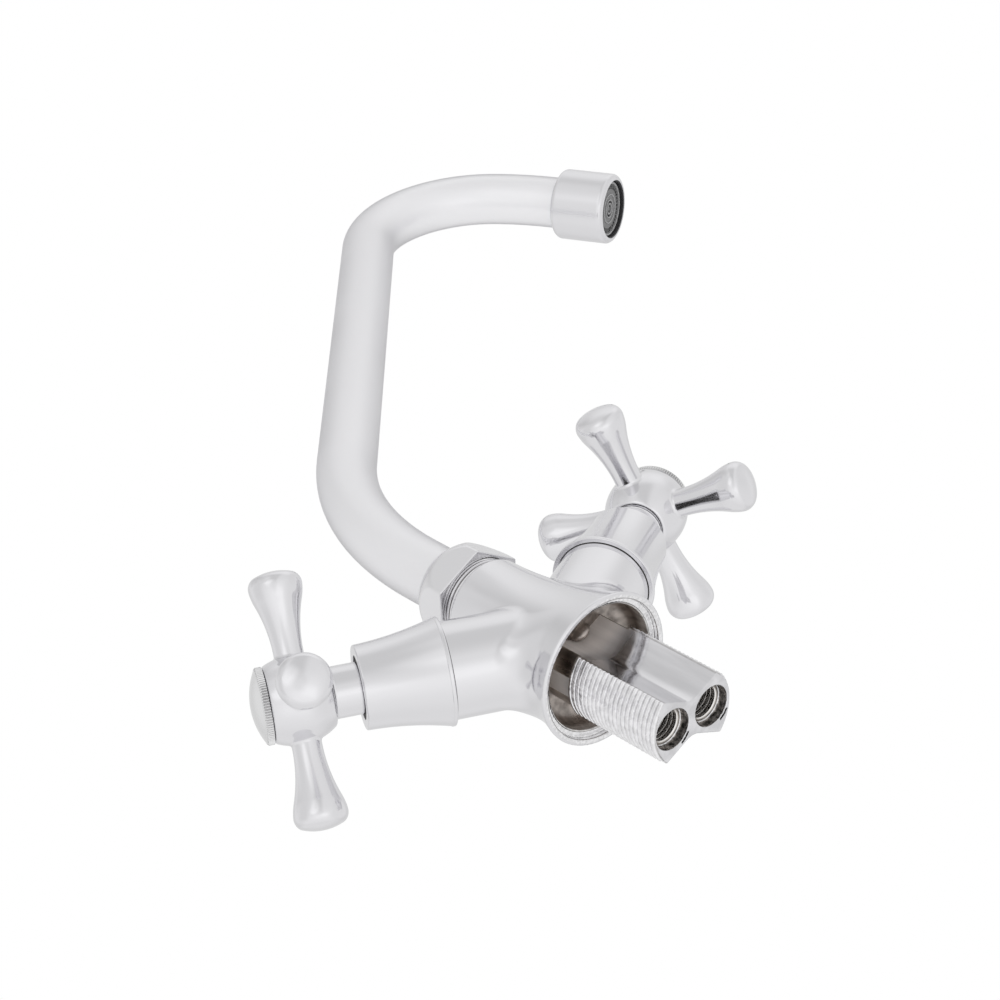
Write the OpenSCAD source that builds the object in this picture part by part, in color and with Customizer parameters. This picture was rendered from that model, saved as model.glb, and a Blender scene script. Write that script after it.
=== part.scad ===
// Two-handle deck mixer tap with a swivelling bent spout.
// The origin is the centre of the base flange's seating face, which rests on the deck.
// +Z runs up through the body, -Y is the front, the hot side is -X and the cold side is +X.
// Heights are measured up from the seating face. Places along a side arm are measured from
// the point where the arm's axis meets the body's axis.

/* [Body] */
// Diameter of the round base flange
base_d = 43; // [41:0.5:46]
// Height of the flange's straight rim
base_rim_h = 1.4; // [1:0.1:3]
// Diameter of the gasket recess in the flange
recess_d = 39.4; // [38:0.2:40]
// Depth of the gasket recess
recess_h = 1.9; // [1:0.1:3]
// Diameter of the hollow inside the flange
hollow_d = 35.4; // [33:0.2:36]
// Height of the hollow's ceiling
hollow_h = 10; // [8:0.5:11]
// Diameter of the neck where the body is slimmest
neck_d = 27.2; // [26:0.2:29]
// Height of the neck's shoulder
neck_h = 46; // [44:0.5:50]
// Radius of the long waisted curve from flange to neck
waist_r = 132.7; // [125:0.1:145]
// Diameter of the spout thread on top of the neck
neck_thread_d = 24.8; // [24:0.1:25]
// Length of the spout thread
neck_thread_h = 9; // [8:0.5:10]

/* [Arms] */
// Height at which the two arm axes cross the body's axis
arm_z = 15.5; // [14:0.5:18]
// Rise of the arms above horizontal, in degrees
arm_tilt = 28; // [24:0.5:32]
// Diameter of the arms
arm_d = 26.2; // [25:0.2:27]
// Length of an arm from the body's axis to its mouth
arm_l = 34.6; // [34:0.1:35]

/* [Threaded shank] */
// Diameter over the shank's thread
shank_d = 27.2; // [26:0.1:28]
// Length of the shank below the seating face
shank_l = 31.6; // [28:0.2:40]
// Pitch of the shank's thread
shank_pitch = 1.5; // [1:0.25:2]
// Distance between the two hose holes
hose_pitch = 13.8; // [13:0.2:14]
// Wall diameter of the hose threads, as drilled for M10 x 1
hose_bore_d = 9; // [8.9:0.1:9.1]
// Length of the hose threads
hose_thread_l = 12; // [10:0.5:14]
// Diameter of the relief at each hose hole's mouth
hose_mouth_d = 11.4; // [11:0.1:11.5]
// Depth of the relief at each hose hole's mouth
hose_mouth_h = 3.4; // [2:0.2:5]
// Depth of the front and back grooves between the shank's lobes
groove_depth = 8.2; // [7:0.1:9]

/* [Spout] */
// Outer diameter of the spout tube
tube_d = 18; // [17:0.5:18]
// Wall thickness of the spout tube
tube_wall = 1; // [0.8:0.1:1.2]
// Height at which the straight riser ends
riser_top = 74; // [70:1:90]
// Bend radius where the spout leans forward
lean_r = 94.5; // [80:0.5:110]
// Angle of the forward lean, in degrees
lean_angle = 41.6; // [30:0.1:45]
// Length of the straight leaning run
run_l = 152.8; // [120:0.2:180]
// Bend radius at the top of the spout
crook_r = 38.1; // [32:0.1:45]
// Angle of the top bend, in degrees
crook_angle = 100; // [90:1:110]
// Radius of the gentle bend down to the outlet
drop_r = 90.2; // [80:0.2:100]
// Angle of the gentle bend, in degrees
drop_angle = 14; // [8:1:20]
// Direction in which the spout points, in degrees from the cold side
spout_turn = 0; // [-180:1:180]

/* [Spout nut] */
// Width across the flats of the spout nut
nut_af = 27.2; // [27:0.1:28]
// Height of the nut's lower face
nut_z = 49.4; // [48:0.2:50]
// Height of the nut's upper edge
nut_top = 62.4; // [61:0.2:63]
// Radius of the sphere that rounds the nut's upper part
nut_dome_r = 15.9; // [15.8:0.1:17]
// Angle of the nut's first corner, in degrees
nut_turn = 33.2; // [0:0.1:60]

/* [Aerator] */
// Outer diameter of the aerator housing
aerator_d = 25; // [24.6:0.1:26]
// Length from the end of the spout's last bend to the outlet face
aerator_end = 23.6; // [23:0.2:25]
// Place of the housing's rear edge along the outlet
aerator_start = 3.6; // [3:0.2:4]
// Diameter of the outlet opening
outlet_d = 20.8; // [20:0.2:21]

/* [Bonnet covers] */
// Place of the cover's wide end along the arm
cover_start = 32.2; // [31:0.1:33]
// Place of the cover's narrow end along the arm
cover_end = 55.2; // [54:0.1:56]
// Diameter of the cover's wide end
cover_wide_d = 28.2; // [28:0.1:29]
// Diameter of the cover's narrow end
cover_narrow_d = 22.5; // [22:0.1:23]
// Radius of the cover's concave flank
cover_flank_r = 74; // [60:1:90]

/* [Handles] */
// Diameter of the handle's stem
stem_d = 13.8; // [13:0.2:14.4]
// Place of the hub's near face along the arm
hub_start = 62.5; // [61:0.1:63]
// Place of the hub's outer face along the arm
hub_end = 79.2; // [78:0.1:80]
// Largest diameter of the barrel-shaped hub
hub_d = 23.4; // [22:0.2:25]
// Radius of the hub's barrel curve
hub_curve_r = 15.4; // [14:0.2:18]
// Place of the cross grips' axes along the arm
grip_at = 71.4; // [70:0.2:73]
// Diameter of a grip where it leaves the hub
grip_root_d = 7.9; // [7:0.1:9]
// Diameter of a grip at its flared tip
grip_tip_d = 14.3; // [13:0.1:15]
// Distance from the hub's axis to a grip's tip
grip_reach = 34.3; // [32:0.1:36]
// Radius of a grip's flare
grip_flare_r = 41; // [36:1:50]
// Rest angle of the hot handle's grips, in degrees
hot_turn = 42.3; // [0:0.1:90]
// Rest angle of the cold handle's grips, in degrees
cold_turn = 65.9; // [0:0.1:90]
// Diameter of the knurled index cap
cap_d = 20.4; // [19:0.1:21]
// Height of the cap's knurled rim
cap_rim_h = 2; // [1.5:0.1:3]
// Rise of the cap's domed face above the rim
cap_dome_h = 2.7; // [1:0.1:3]

/* [Hidden] */
$fn = 96;
e = 0.01;                          // overshoot of a cut past a face
run_gap = 0.05;                    // radial clearance of a running fit

base_r = base_d / 2;
neck_r = neck_d / 2;
neck_thread_r = neck_thread_d / 2;
arm_r = arm_d / 2;
shank_r = shank_d / 2;
tube_r = tube_d / 2;
tube_bore_r = tube_r - tube_wall;

// Shank: thread form, groove flanks and the plain core above the thread
shank_thread_depth = 0.8;
shank_top = -0.5;                  // the thread stops just under the seating face
core_r = shank_r - 1.4;
groove_bottom = shank_r - groove_depth;
groove_round_r = 5;
groove_flank = 24.7;               // slope of the groove's flanks, in degrees
land_middle = 41;                  // direction of the plain strips, in degrees below +X
land_half = 5.5;                   // half the width of a plain strip, in degrees

// Water ways
inlet_r = 3.2;
mix_r = 5;
mix_z = 29;                        // height of the cross passage from the valves
mix_cross_r = 2.5;
socket_r = tube_r + run_gap + 0.01;
socket_z = 34;                     // floor of the socket that holds the spout's tail

// Spout ends: places along the outlet are measured from the end of the last bend
tube_start = 50.2;                 // height of the tube's lower end
tube_end = 7;
tube_swell = 0.1;                  // how much fuller every second stretch of the tube is
tube_lap = 1;                      // how far a stretch runs into the next one
end_r = tube_r + tube_swell;       // the outlet end is one of the fuller stretches
end_bore_r = tube_bore_r - tube_swell;
tail_groove_r = 7.6;
tail_ring_z = [39, 44.5];
ferrule_r = 10.9;
ferrule_end = 15.5;
insert_at = 17;
grid_rings = 6;
grid_pitch = 1.25;

// Valve: places along the arm, from the seat outwards
seat_at = 14;
fixed_at = 15.2;
rotating_at = 17.25;
drive_at = 19.7;
drive_end = 22.5;
mouth_at = 27;                     // start of the wide threaded mouth
hex_end = 38.6;
collar_end = 41.5;
housing_end = 47;
stem_start = 49.5;
spline_at = 56;
spindle_end = 66;
screw_seat = 70;
cap_seat = 74.6;
chamber_r = 8;
mouth_r = 9.2;
disc_r = 6.9;
tongue_l = 11.8;                   // the spindle's drive tongue, short of the housing's bore
spindle_r = 4;
screw_r = 1.95;
cap_plug_r = 7.5;
seal_at = 31;
seal_groove_r = 3;
clip_at = 47.3;
cap_dome_r = (pow(cap_d / 2, 2) + pow(cap_dome_h, 2)) / (2 * cap_dome_h);

// ---------------------------------------------------------------- frames

// Puts children on an arm: local +Z runs out along the arm. side is -1 hot or 1 cold.
module on_arm(side) {
  translate([0, 0, arm_z]) rotate([0, side * (90 - arm_tilt), 0]) children();
}

// Puts children on the spout at its turned direction.
module on_spout() {
  rotate([0, 0, spout_turn]) children();
}

// Moves children to the far end of a bend that leaves the origin along +Z and turns to +X.
module past_bend(r, angle) {
  translate([r * (1 - cos(angle)), 0, r * sin(angle)]) rotate([0, angle, 0]) children();
}

module past_lean() {
  translate([0, 0, riser_top]) past_bend(lean_r, lean_angle) children();
}

module past_run() {
  past_lean() translate([0, 0, run_l]) children();
}

module past_crook() {
  past_run() past_bend(crook_r, crook_angle) children();
}

module at_outlet() {
  on_spout() past_crook() past_bend(drop_r, drop_angle) children();
}

// ---------------------------------------------------------------- shapes

// A tube or rod of radius ro, hollow to ri where ri is above zero, from z0 to z1.
module ring(ro, ri, z0, z1) {
  translate([0, 0, z0]) difference() {
    cylinder(r = ro, h = z1 - z0);
    if (ri > 0) translate([0, 0, -e]) cylinder(r = ri, h = z1 - z0 + 2 * e);
  }
}

// A round cut from z0 to z1.
module cut(r, z0, z1) {
  translate([0, 0, z0]) cylinder(r = r, h = z1 - z0);
}

// A torus with its hole along Z.
module o_ring(mid_r, section_r, z) {
  translate([0, 0, z]) rotate_extrude() translate([mid_r, 0]) circle(r = section_r);
}

// A bent stretch of tube that leaves the origin along +Z and turns towards +X. Its wall is
// thicker by swell on both sides, and it runs on by lap at both ends.
module bend(r, angle, swell, lap) {
  lap_angle = lap * 180 / (PI * r);
  translate([r, 0, 0]) rotate([90, 0, 180]) rotate([0, 0, -lap_angle])
    rotate_extrude(angle = angle + 2 * lap_angle) translate([r, 0]) difference() {
      circle(r = tube_r + swell);
      circle(r = tube_bore_r - swell);
    }
}

// Outline of a ring-groove thread from z0 up to z1, filled to the axis.
function thread_outline(r, depth, pitch, z0, z1) = let (n = floor((z1 - z0) / pitch)) concat(
  [[0, z0], [r - depth, z0]],
  [for (i = [0:n - 1], step = [0.15, 0.35, 0.65, 0.85])
    [step > 0.3 && step < 0.7 ? r : r - depth, z0 + (i + step) * pitch]],
  [[r - depth, z1], [0, z1]]
);

// A star outline with straight flanks, for splines and knurls.
module star(teeth, r_out, r_in) {
  polygon([for (i = [0:2 * teeth - 1])
    (i % 2 == 0 ? r_out : r_in) * [cos(180 * i / teeth), sin(180 * i / teeth)]]);
}

// ---------------------------------------------------------------- body

// Flange, waist and neck as one turned shape.
module body_turning() {
  rotate_extrude() difference() {
    square([base_r, neck_h]);
    translate([neck_r + waist_r, neck_h]) circle(r = waist_r, $fn = 360);
    translate([base_r - 0.4, -e]) polygon([[0, 0], [1, 0], [1, 1]]);
  }
  ring(base_r, 0, 0.4, base_rim_h);
  rotate_extrude()
    polygon(thread_outline(neck_thread_r, 0.55, 1.25, neck_h - e, neck_h + neck_thread_h));
}

// The hollow under the body, left open at the seating face.
module flange_hollow() {
  cut(recess_d / 2, -e, recess_h);
  rotate_extrude() difference() {
    square([hollow_d / 2, hollow_h]);
    translate([hollow_d / 2 + 60, recess_h - 2]) circle(r = 60, $fn = 360);
    difference() {
      translate([hollow_d / 2 - 5, hollow_h - 4]) square([6, 5]);
      translate([hollow_d / 2 - 5, hollow_h - 4]) circle(r = 4);
    }
  }
}

// One groove between the lobes of the shank, on the side of -Y. Its straight flanks cross its
// round bottom at a small angle, and start inside it.
module groove_outline() {
  flank_start = groove_flank + 6;
  lap = 0.8;
  foot_x = groove_round_r * sin(flank_start);
  foot_y = groove_bottom + groove_round_r * (1 - cos(flank_start));
  rise = tan(groove_flank);
  inner = [foot_x - lap, -foot_y + lap * rise];
  outer = [shank_r + 1, -foot_y - (shank_r + 1 - foot_x) * rise];
  translate([0, -groove_bottom - groove_round_r]) circle(r = groove_round_r);
  polygon([[-outer[0], outer[1]], [-inner[0], inner[1]], inner, outer,
    [outer[0], -2 * shank_r], [-outer[0], -2 * shank_r]]);
}

module lobe_prism(z0, z1) {
  translate([0, 0, z0]) linear_extrude(height = z1 - z0) difference() {
    circle(r = shank_r + 1);
    groove_outline();
    rotate(180) groove_outline();
  }
}

// Wedge that holds the plain strip beside one front and one back corner of the lobes.
module land_wedge() {
  for (a = [0, 180]) rotate(a - land_middle) translate([0, 0, -shank_l - 1])
    linear_extrude(height = shank_l + 2)
      polygon([[0, 0], [20, -20 * tan(land_half)], [20, 20 * tan(land_half)]]);
}

// The shank with its ring-groove thread, cut to two lobes, and its plain core in the hollow.
// Its end face cuts through the middle of a crest.
module shank() {
  thread_foot = -shank_l - shank_pitch / 2;
  intersection() {
    union() {
      difference() {
        rotate_extrude()
          polygon(thread_outline(shank_r, shank_thread_depth, shank_pitch, thread_foot, shank_top));
        land_wedge();
      }
      intersection() {
        cut(shank_r - 0.4, -shank_l, shank_top);
        land_wedge();
      }
      cut(core_r, shank_top - e, hollow_h + 1);
    }
    lobe_prism(-shank_l, hollow_h + 2);
  }
}

// Hose holes and inlet ways, seen from below.
module hose_ways() {
  for (side = [-1, 1]) translate([side * hose_pitch / 2, 0, 0]) {
    cut(hose_mouth_d / 2, -shank_l - e, -shank_l + hose_mouth_h);
    cut(hose_bore_d / 2, -shank_l, -shank_l + hose_mouth_h + hose_thread_l);
    cut(inlet_r, -shank_l, arm_z + 3);
  }
}

// A shallow curved slot beside each hose hole, in the shank's end face.
module end_slots() {
  slot_r = 6.1;
  for (side = [-1, 1]) translate([side * hose_pitch / 2, 0, -shank_l - e]) rotate(32)
    rotate_extrude(angle = 30) translate([slot_r, 0]) square([0.6, 0.4]);
}

// Chamber, threaded mouth and inlet port of each valve.
module valve_chambers() {
  for (side = [-1, 1]) on_arm(side) {
    cut(inlet_r, 7, seat_at + e);
    cut(chamber_r, seat_at, mouth_at + e);
    cut(mouth_r, mouth_at, arm_l + e);
  }
}

module mixing_ways() {
  translate([-16, 0, mix_z]) rotate([0, 90, 0]) cylinder(r = mix_cross_r, h = 32);
  cut(mix_r, mix_z - 4, socket_z + e);
  cut(socket_r, socket_z, neck_h + neck_thread_h + 1);
}

module body_casting() {
  color("gainsboro") difference() {
    union() {
      difference() {
        union() {
          body_turning();
          for (side = [-1, 1]) on_arm(side) cylinder(r = arm_r, h = arm_l);
        }
        translate([0, 0, -base_r]) cube([4 * base_r, 4 * base_r, 2 * base_r], center = true);
        flange_hollow();
      }
      shank();
    }
    hose_ways();
    end_slots();
    valve_chambers();
    mixing_ways();
  }
}

// ---------------------------------------------------------------- spout

module spout_nut() {
  shoulder = neck_h + neck_thread_h + 2.8;
  color("gainsboro") difference() {
    intersection() {
      rotate(nut_turn) translate([0, 0, nut_z])
        cylinder(d = nut_af / cos(30), h = nut_top - nut_z, $fn = 6);
      translate([0, 0, nut_z + 1]) sphere(r = nut_dome_r);
    }
    cut(neck_thread_r + 0.1, nut_z - e, shoulder);
    cut(tube_r + 0.35, nut_z, nut_top + e);
  }
}

// Each stretch is hollow by itself. Every second one is a little fuller, and its neighbours run
// into it, so that no two walls coincide where they join.
module spout_tube() {
  color("whitesmoke") {
    on_spout() {
      ring(tube_r, tube_bore_r, tube_start, riser_top + tube_lap);
      translate([0, 0, riser_top]) bend(lean_r, lean_angle, tube_swell, 0);
      past_lean() ring(tube_r, tube_bore_r, -tube_lap, run_l + tube_lap);
      past_run() bend(crook_r, crook_angle, tube_swell, 0);
      past_crook() bend(drop_r, drop_angle, 0, tube_lap);
    }
    at_outlet() ring(end_r, end_bore_r, 0, tube_end);
  }
}

// Brass tail that turns in the neck's socket, with a spigot inside the tube.
module spout_tail() {
  color("goldenrod") on_spout() difference() {
    union() {
      cut(tube_r, socket_z + 1, tube_start - 0.1);
      cut(tube_bore_r - 0.03, tube_start - 0.2, tube_start + 7);
    }
    cut(tube_bore_r - 1.4, socket_z, tube_start + 8);
    for (z = tail_ring_z)
      ring(tube_r + 1, tail_groove_r, z - 1.1, z + 1.1);
  }
}

module spout_o_rings() {
  color("dimgray") on_spout()
    for (z = tail_ring_z) o_ring(tail_groove_r + 0.73, 0.7, z);
}

// Ring crimped on the tube, held down by the nut.
module spout_collar() {
  low = neck_h + neck_thread_h + 0.1;
  color("goldenrod") on_spout() ring(neck_thread_r - 0.6, tube_r + 0.02, low, low + 2.4);
}

// ---------------------------------------------------------------- outlet

// Threaded end brazed into the tube.
module outlet_ferrule() {
  color("goldenrod") at_outlet() {
    ring(end_bore_r - 0.05, end_bore_r - 1, tube_end - 5.5, tube_end + 0.1);
    ring(ferrule_r, end_bore_r - 1, tube_end + 0.05, ferrule_end);
  }
}

module aerator_housing() {
  shoulder_r = 1.9;
  edge_r = 0.7;
  wall_r = aerator_d / 2;
  neck_in = end_r + 0.1;
  color("gainsboro") at_outlet() rotate_extrude() difference() {
    union() {
      translate([neck_in, aerator_start])
        square([wall_r - shoulder_r - neck_in, aerator_end - aerator_start]);
      translate([neck_in, aerator_start + shoulder_r])
        square([wall_r - neck_in, aerator_end - edge_r - aerator_start - shoulder_r]);
      translate([wall_r - shoulder_r, aerator_start + shoulder_r]) circle(r = shoulder_r);
      translate([neck_in, aerator_end - 2 * edge_r])
        square([wall_r - edge_r - neck_in, 2 * edge_r]);
      translate([wall_r - edge_r, aerator_end - edge_r]) circle(r = edge_r, $fn = 48);
    }
    translate([0, tube_end]) square([ferrule_r + 0.1, insert_at + 1.6 - tube_end]);
    translate([0, tube_end]) square([outlet_d / 2, aerator_end]);
  }
}

module aerator_gasket() {
  color("dimgray") at_outlet() ring(ferrule_r, 8, ferrule_end + 0.05, insert_at - 0.05);
}

// Insert with a rim, a barrel and an outlet grid of rings and spokes.
module aerator_insert() {
  barrel_r = outlet_d / 2 - 0.9;
  front = aerator_end - 1.1;
  grid_h = 1.6;
  color("slategray") at_outlet() {
    ring(ferrule_r, barrel_r - 0.9, insert_at, insert_at + 1.5);
    ring(barrel_r, barrel_r - 0.9, insert_at + 1.4, front);
    for (i = [0:grid_rings - 1]) {
      r = barrel_r - 1.9 - i * grid_pitch;
      ring(r, r - 0.55, front - grid_h, front - (i % 2 == 0 ? 0.25 : 0));
    }
    for (a = [0:45:315]) rotate(a)
      translate([0.4, -0.25, front - grid_h]) cube([barrel_r - 0.8, 0.5, grid_h - 0.5]);
    ring(0.9, 0, front - grid_h, front - 0.3);
  }
}

// Wire screen inside the insert, as a thin drilled disc.
module aerator_screen() {
  screen_r = outlet_d / 2 - 1.9;
  color("silver") at_outlet() translate([0, 0, insert_at + 1]) difference() {
    cylinder(r = screen_r, h = 0.4);
    for (row = [1:3], i = [0:6 * row - 1]) rotate(60 * i / row)
      translate([row * 2.2, 0, -e]) cylinder(r = 0.7, h = 1, $fn = 24);
  }
}

// ---------------------------------------------------------------- valves

// Trumpet-shaped cover over the valve, with an inner web clamped by the housing's collar.
module bonnet_cover(side) {
  wide_r = cover_wide_d / 2;
  narrow_r = cover_narrow_d / 2;
  flank_foot = cover_end + 1.8;
  color("gainsboro") on_arm(side) difference() {
    rotate_extrude() difference() {
      translate([0, cover_start]) square([wide_r, cover_end - cover_start]);
      translate([narrow_r + cover_flank_r, flank_foot]) circle(r = cover_flank_r, $fn = 360);
      translate([wide_r - 0.5, cover_start - e]) polygon([[0, 0], [1, 0], [1, 1]]);
    }
    cut(arm_r + 0.25, cover_start - e, arm_l + 0.4);
    cut(12.2, arm_l, hex_end + 0.05);
    cut(7.05, hex_end, collar_end);
    cut(9.6, hex_end + 1.6, cover_end - 1.2);
    cut(stem_d / 2 + 1.5, cover_end - 2, cover_end + e);
  }
}

// Screwed-in cartridge body: barrel, threaded shoulder, hexagon, collar and neck.
module valve_housing(side) {
  color("goldenrod") on_arm(side) difference() {
    union() {
      cut(chamber_r - 0.05, fixed_at, mouth_at + 0.1);
      cut(mouth_r - 0.05, mouth_at + 0.05, arm_l);
      translate([0, 0, arm_l]) cylinder(d = 19 / cos(30), h = hex_end - arm_l, $fn = 6);
      cut(7, hex_end - e, collar_end);
      cut(5.8, collar_end - e, housing_end);
    }
    cut(disc_r + 0.05, fixed_at - e, drive_end + 0.1);
    cut(spindle_r + run_gap, drive_end, housing_end + e);
    translate([-chamber_r - 1, -2.5, rotating_at + 0.2])
      cube([2 * chamber_r + 2, 5, drive_at - rotating_at - 0.4]);
  }
}

module seat_seal(side) {
  color("dimgray") on_arm(side) ring(7, inlet_r + 0.6, seat_at, fixed_at - 0.03);
}

// A ceramic disc with a half-moon port.
module port_disc(z0, z1) {
  difference() {
    cut(disc_r, z0, z1);
    translate([0, 0, z0 - e]) linear_extrude(height = z1 - z0 + 2 * e) intersection() {
      circle(r = 5);
      translate([-6, 0.8]) square([12, 6]);
    }
  }
}

module fixed_disc(side) {
  color("white") on_arm(side) port_disc(fixed_at, rotating_at - 0.05);
}

module rotating_disc(side) {
  color("white") on_arm(side) rotate(180) difference() {
    port_disc(rotating_at, drive_at - 0.05);
    translate([-disc_r - 1, -3.1, drive_at - 1.05]) cube([2 * disc_r + 2, 2.2, 2]);
  }
}

// Spindle with drive flange and tongue, seal groove, clip groove and splined end.
module spindle(side) {
  spline_r = spindle_r - 0.02;
  color("goldenrod") on_arm(side) difference() {
    union() {
      cut(disc_r - 0.05, drive_at, drive_end);
      rotate(180) translate([-tongue_l / 2, -3.05, drive_at - 1]) cube([tongue_l, 2.1, 1 + e]);
      cut(spindle_r, drive_end - e, spline_at);
      translate([0, 0, spline_at - e]) linear_extrude(height = spindle_end - spline_at + e)
        star(20, spline_r, spline_r - 0.5);
    }
    ring(spindle_r + 1, seal_groove_r, seal_at - 0.7, seal_at + 0.7);
    ring(spindle_r + 1, spindle_r - 0.8, clip_at, clip_at + 1);
    cut(screw_r + 0.04, spline_at + 1, spindle_end + e);
  }
}

module spindle_o_ring(side) {
  color("dimgray") on_arm(side) o_ring(seal_groove_r + 0.5, 0.48, seal_at);
}

// Open spring clip above the housing.
module circlip(side) {
  color("silver") on_arm(side) difference() {
    ring(5.2, spindle_r - 0.75, clip_at + 0.05, clip_at + 0.95);
    translate([0, -1.5, clip_at - 1]) cube([8, 3, 3]);
  }
}

// ---------------------------------------------------------------- handles

// One flared grip: it stands along +Z from the hub's axis.
module grip() {
  root_r = grip_root_d / 2;
  tip_r = grip_tip_d / 2;
  flare_foot = 12.5;
  edge_r = 2;
  edge_z = grip_reach - 3.2;
  dome_r = 14;
  rotate_extrude() difference() {
    intersection() {
      union() {
        translate([0, 6]) square([tip_r, edge_z - 6]);
        translate([0, edge_z - e]) square([tip_r - edge_r, edge_r + 2]);
        translate([tip_r - edge_r, edge_z]) circle(r = edge_r);
      }
      union() {
        translate([0, grip_reach - dome_r]) circle(r = dome_r, $fn = 180);
        square([tip_r + 1, grip_reach - 6]);
      }
    }
    translate([root_r + grip_flare_r, flare_foot]) circle(r = grip_flare_r, $fn = 360);
    translate([root_r, 0]) square([tip_r, flare_foot]);
  }
}

// Cross handle: stem, barrel hub and four flared grips.
module handle(side, turn) {
  hub_mid_r = hub_d / 2 - hub_curve_r;
  hub_middle = hub_start + 9.65;
  color("gainsboro") on_arm(side) rotate(turn) difference() {
    union() {
      cut(stem_d / 2, stem_start, hub_start + 1);
      rotate_extrude() intersection() {
        translate([0, hub_start]) square([hub_d, hub_end - hub_start]);
        translate([hub_mid_r, hub_middle]) circle(r = hub_curve_r, $fn = 180);
      }
      for (a = [0:90:270]) translate([0, 0, grip_at]) rotate([0, 90, a]) grip();
    }
    cut(6.1, stem_start - e, spline_at);
    cut(spindle_r + 0.02, spline_at - e, spindle_end + 0.2);
    cut(screw_r + 0.15, spindle_end, screw_seat + e);
    cut(4.6, screw_seat, hub_end + e);
    cut(cap_plug_r + 0.05, cap_seat, hub_end + e);
  }
}

module handle_screw(side) {
  color("silver") on_arm(side) difference() {
    union() {
      cut(screw_r, spline_at + 4, screw_seat + e);
      cut(3.8, screw_seat, screw_seat + 2.4);
    }
    translate([-4, -0.5, screw_seat + 1.2]) cube([8, 1, 2]);
    translate([-0.5, -4, screw_seat + 1.2]) cube([1, 8, 2]);
  }
}

// Knurled index cap with a plain domed face and a threaded plug behind it.
module index_cap(side, turn) {
  rim_top = hub_end + 0.1 + cap_rim_h;
  cap_r = cap_d / 2;
  color("gainsboro") on_arm(side) rotate(turn) {
    cut(cap_plug_r, cap_seat + 0.1, hub_end + 0.2);
    translate([0, 0, hub_end + 0.1]) linear_extrude(height = cap_rim_h)
      star(72, cap_r, cap_r - 0.35);
    rotate_extrude() intersection() {
      translate([0, rim_top - e]) square([cap_r - 0.2, cap_dome_h + 1]);
      translate([0, rim_top + cap_dome_h - cap_dome_r]) circle(r = cap_dome_r, $fn = 180);
    }
  }
}

body_casting();
spout_nut();
bonnet_cover(-1);  // hot_bonnet_cover
valve_housing(-1);  // hot_valve_housing
seat_seal(-1);  // hot_seat_seal
fixed_disc(-1);  // hot_fixed_disc
rotating_disc(-1);  // hot_rotating_disc
spindle(-1);  // hot_spindle
spindle_o_ring(-1);  // hot_spindle_o_ring
circlip(-1);  // hot_circlip
handle(-1, hot_turn);  // hot_handle
handle_screw(-1);  // hot_handle_screw
index_cap(-1, hot_turn);  // hot_index_cap
bonnet_cover(1);  // cold_bonnet_cover
valve_housing(1);  // cold_valve_housing
seat_seal(1);  // cold_seat_seal
fixed_disc(1);  // cold_fixed_disc
rotating_disc(1);  // cold_rotating_disc
spindle(1);  // cold_spindle
spindle_o_ring(1);  // cold_spindle_o_ring
circlip(1);  // cold_circlip
handle(1, cold_turn);  // cold_handle
handle_screw(1);  // cold_handle_screw
index_cap(1, cold_turn);  // cold_index_cap
spout_tube();
spout_tail();
spout_collar();
spout_o_rings();
outlet_ferrule();
aerator_housing();
aerator_gasket();
aerator_insert();
aerator_screen();
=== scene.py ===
"""Looks of the two-handle deck mixer tap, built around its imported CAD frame.

Shapes are worked out in millimetres, with the names and values of the CAD source, and turned into
metres when a mesh is made. Turned parts are lathed from rounded outlines. Cast and blended parts are
the zero surface of a distance field: a net of quads is laid round it, its points are moved onto the
surface, and each takes the field's slope as its normal.
"""

import math

import bpy
import numpy as np
from mathutils import Matrix, Vector


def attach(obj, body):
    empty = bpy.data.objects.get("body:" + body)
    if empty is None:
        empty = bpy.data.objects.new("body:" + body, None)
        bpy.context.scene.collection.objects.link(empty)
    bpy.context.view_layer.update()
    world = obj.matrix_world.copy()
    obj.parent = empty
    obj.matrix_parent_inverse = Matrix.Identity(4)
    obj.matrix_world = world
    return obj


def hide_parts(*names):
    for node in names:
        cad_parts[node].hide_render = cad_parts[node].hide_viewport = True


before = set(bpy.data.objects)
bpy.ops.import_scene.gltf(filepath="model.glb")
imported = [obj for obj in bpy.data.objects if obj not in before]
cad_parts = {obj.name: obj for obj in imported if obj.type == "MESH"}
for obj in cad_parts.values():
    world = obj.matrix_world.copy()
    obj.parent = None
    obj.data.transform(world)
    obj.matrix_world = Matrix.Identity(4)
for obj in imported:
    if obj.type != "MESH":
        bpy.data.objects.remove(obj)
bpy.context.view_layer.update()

MM = 0.001

# ---------------------------------------------------------------- sizes, in mm, mostly the CAD source's

BASE_R = 21.5
RECESS_R, RECESS_H = 19.7, 1.9
HOLLOW_R, HOLLOW_H = 17.7, 10.0
NECK_R, NECK_H = 13.6, 46.0
WAIST_R = 132.7
NECK_THREAD_R, NECK_THREAD_H = 12.4, 9.0

ARM_Z, ARM_TILT = 15.5, 28.0
ARM_R, ARM_L = 13.1, 34.6
CHAMBER_R, MOUTH_R, SEAT_AT, MOUTH_AT = 8.0, 9.2, 14.0, 27.0

SHANK_R, SHANK_L, SHANK_PITCH, SHANK_THREAD = 13.6, 31.6, 1.5, 0.8
CORE_R, SHANK_TOP = 12.2, -0.5
HOSE_X, HOSE_R, HOSE_THREAD_L, HOSE_PITCH = 6.9, 4.5, 12.0, 1.35
HOSE_MOUTH_R, HOSE_MOUTH_H, INLET_R = 5.7, 3.4, 3.2
GROOVE_BOTTOM, GROOVE_ROUND_R, GROOVE_FLANK = 5.4, 5.0, 24.7
LAND_MIDDLE, LAND_HALF = 41.0, 5.5
SLOT_R, SLOT_WIDE, SLOT_DEEP, SLOT_MIDDLE, SLOT_HALF = 6.1, 0.6, 2.2, 47, 15

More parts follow.
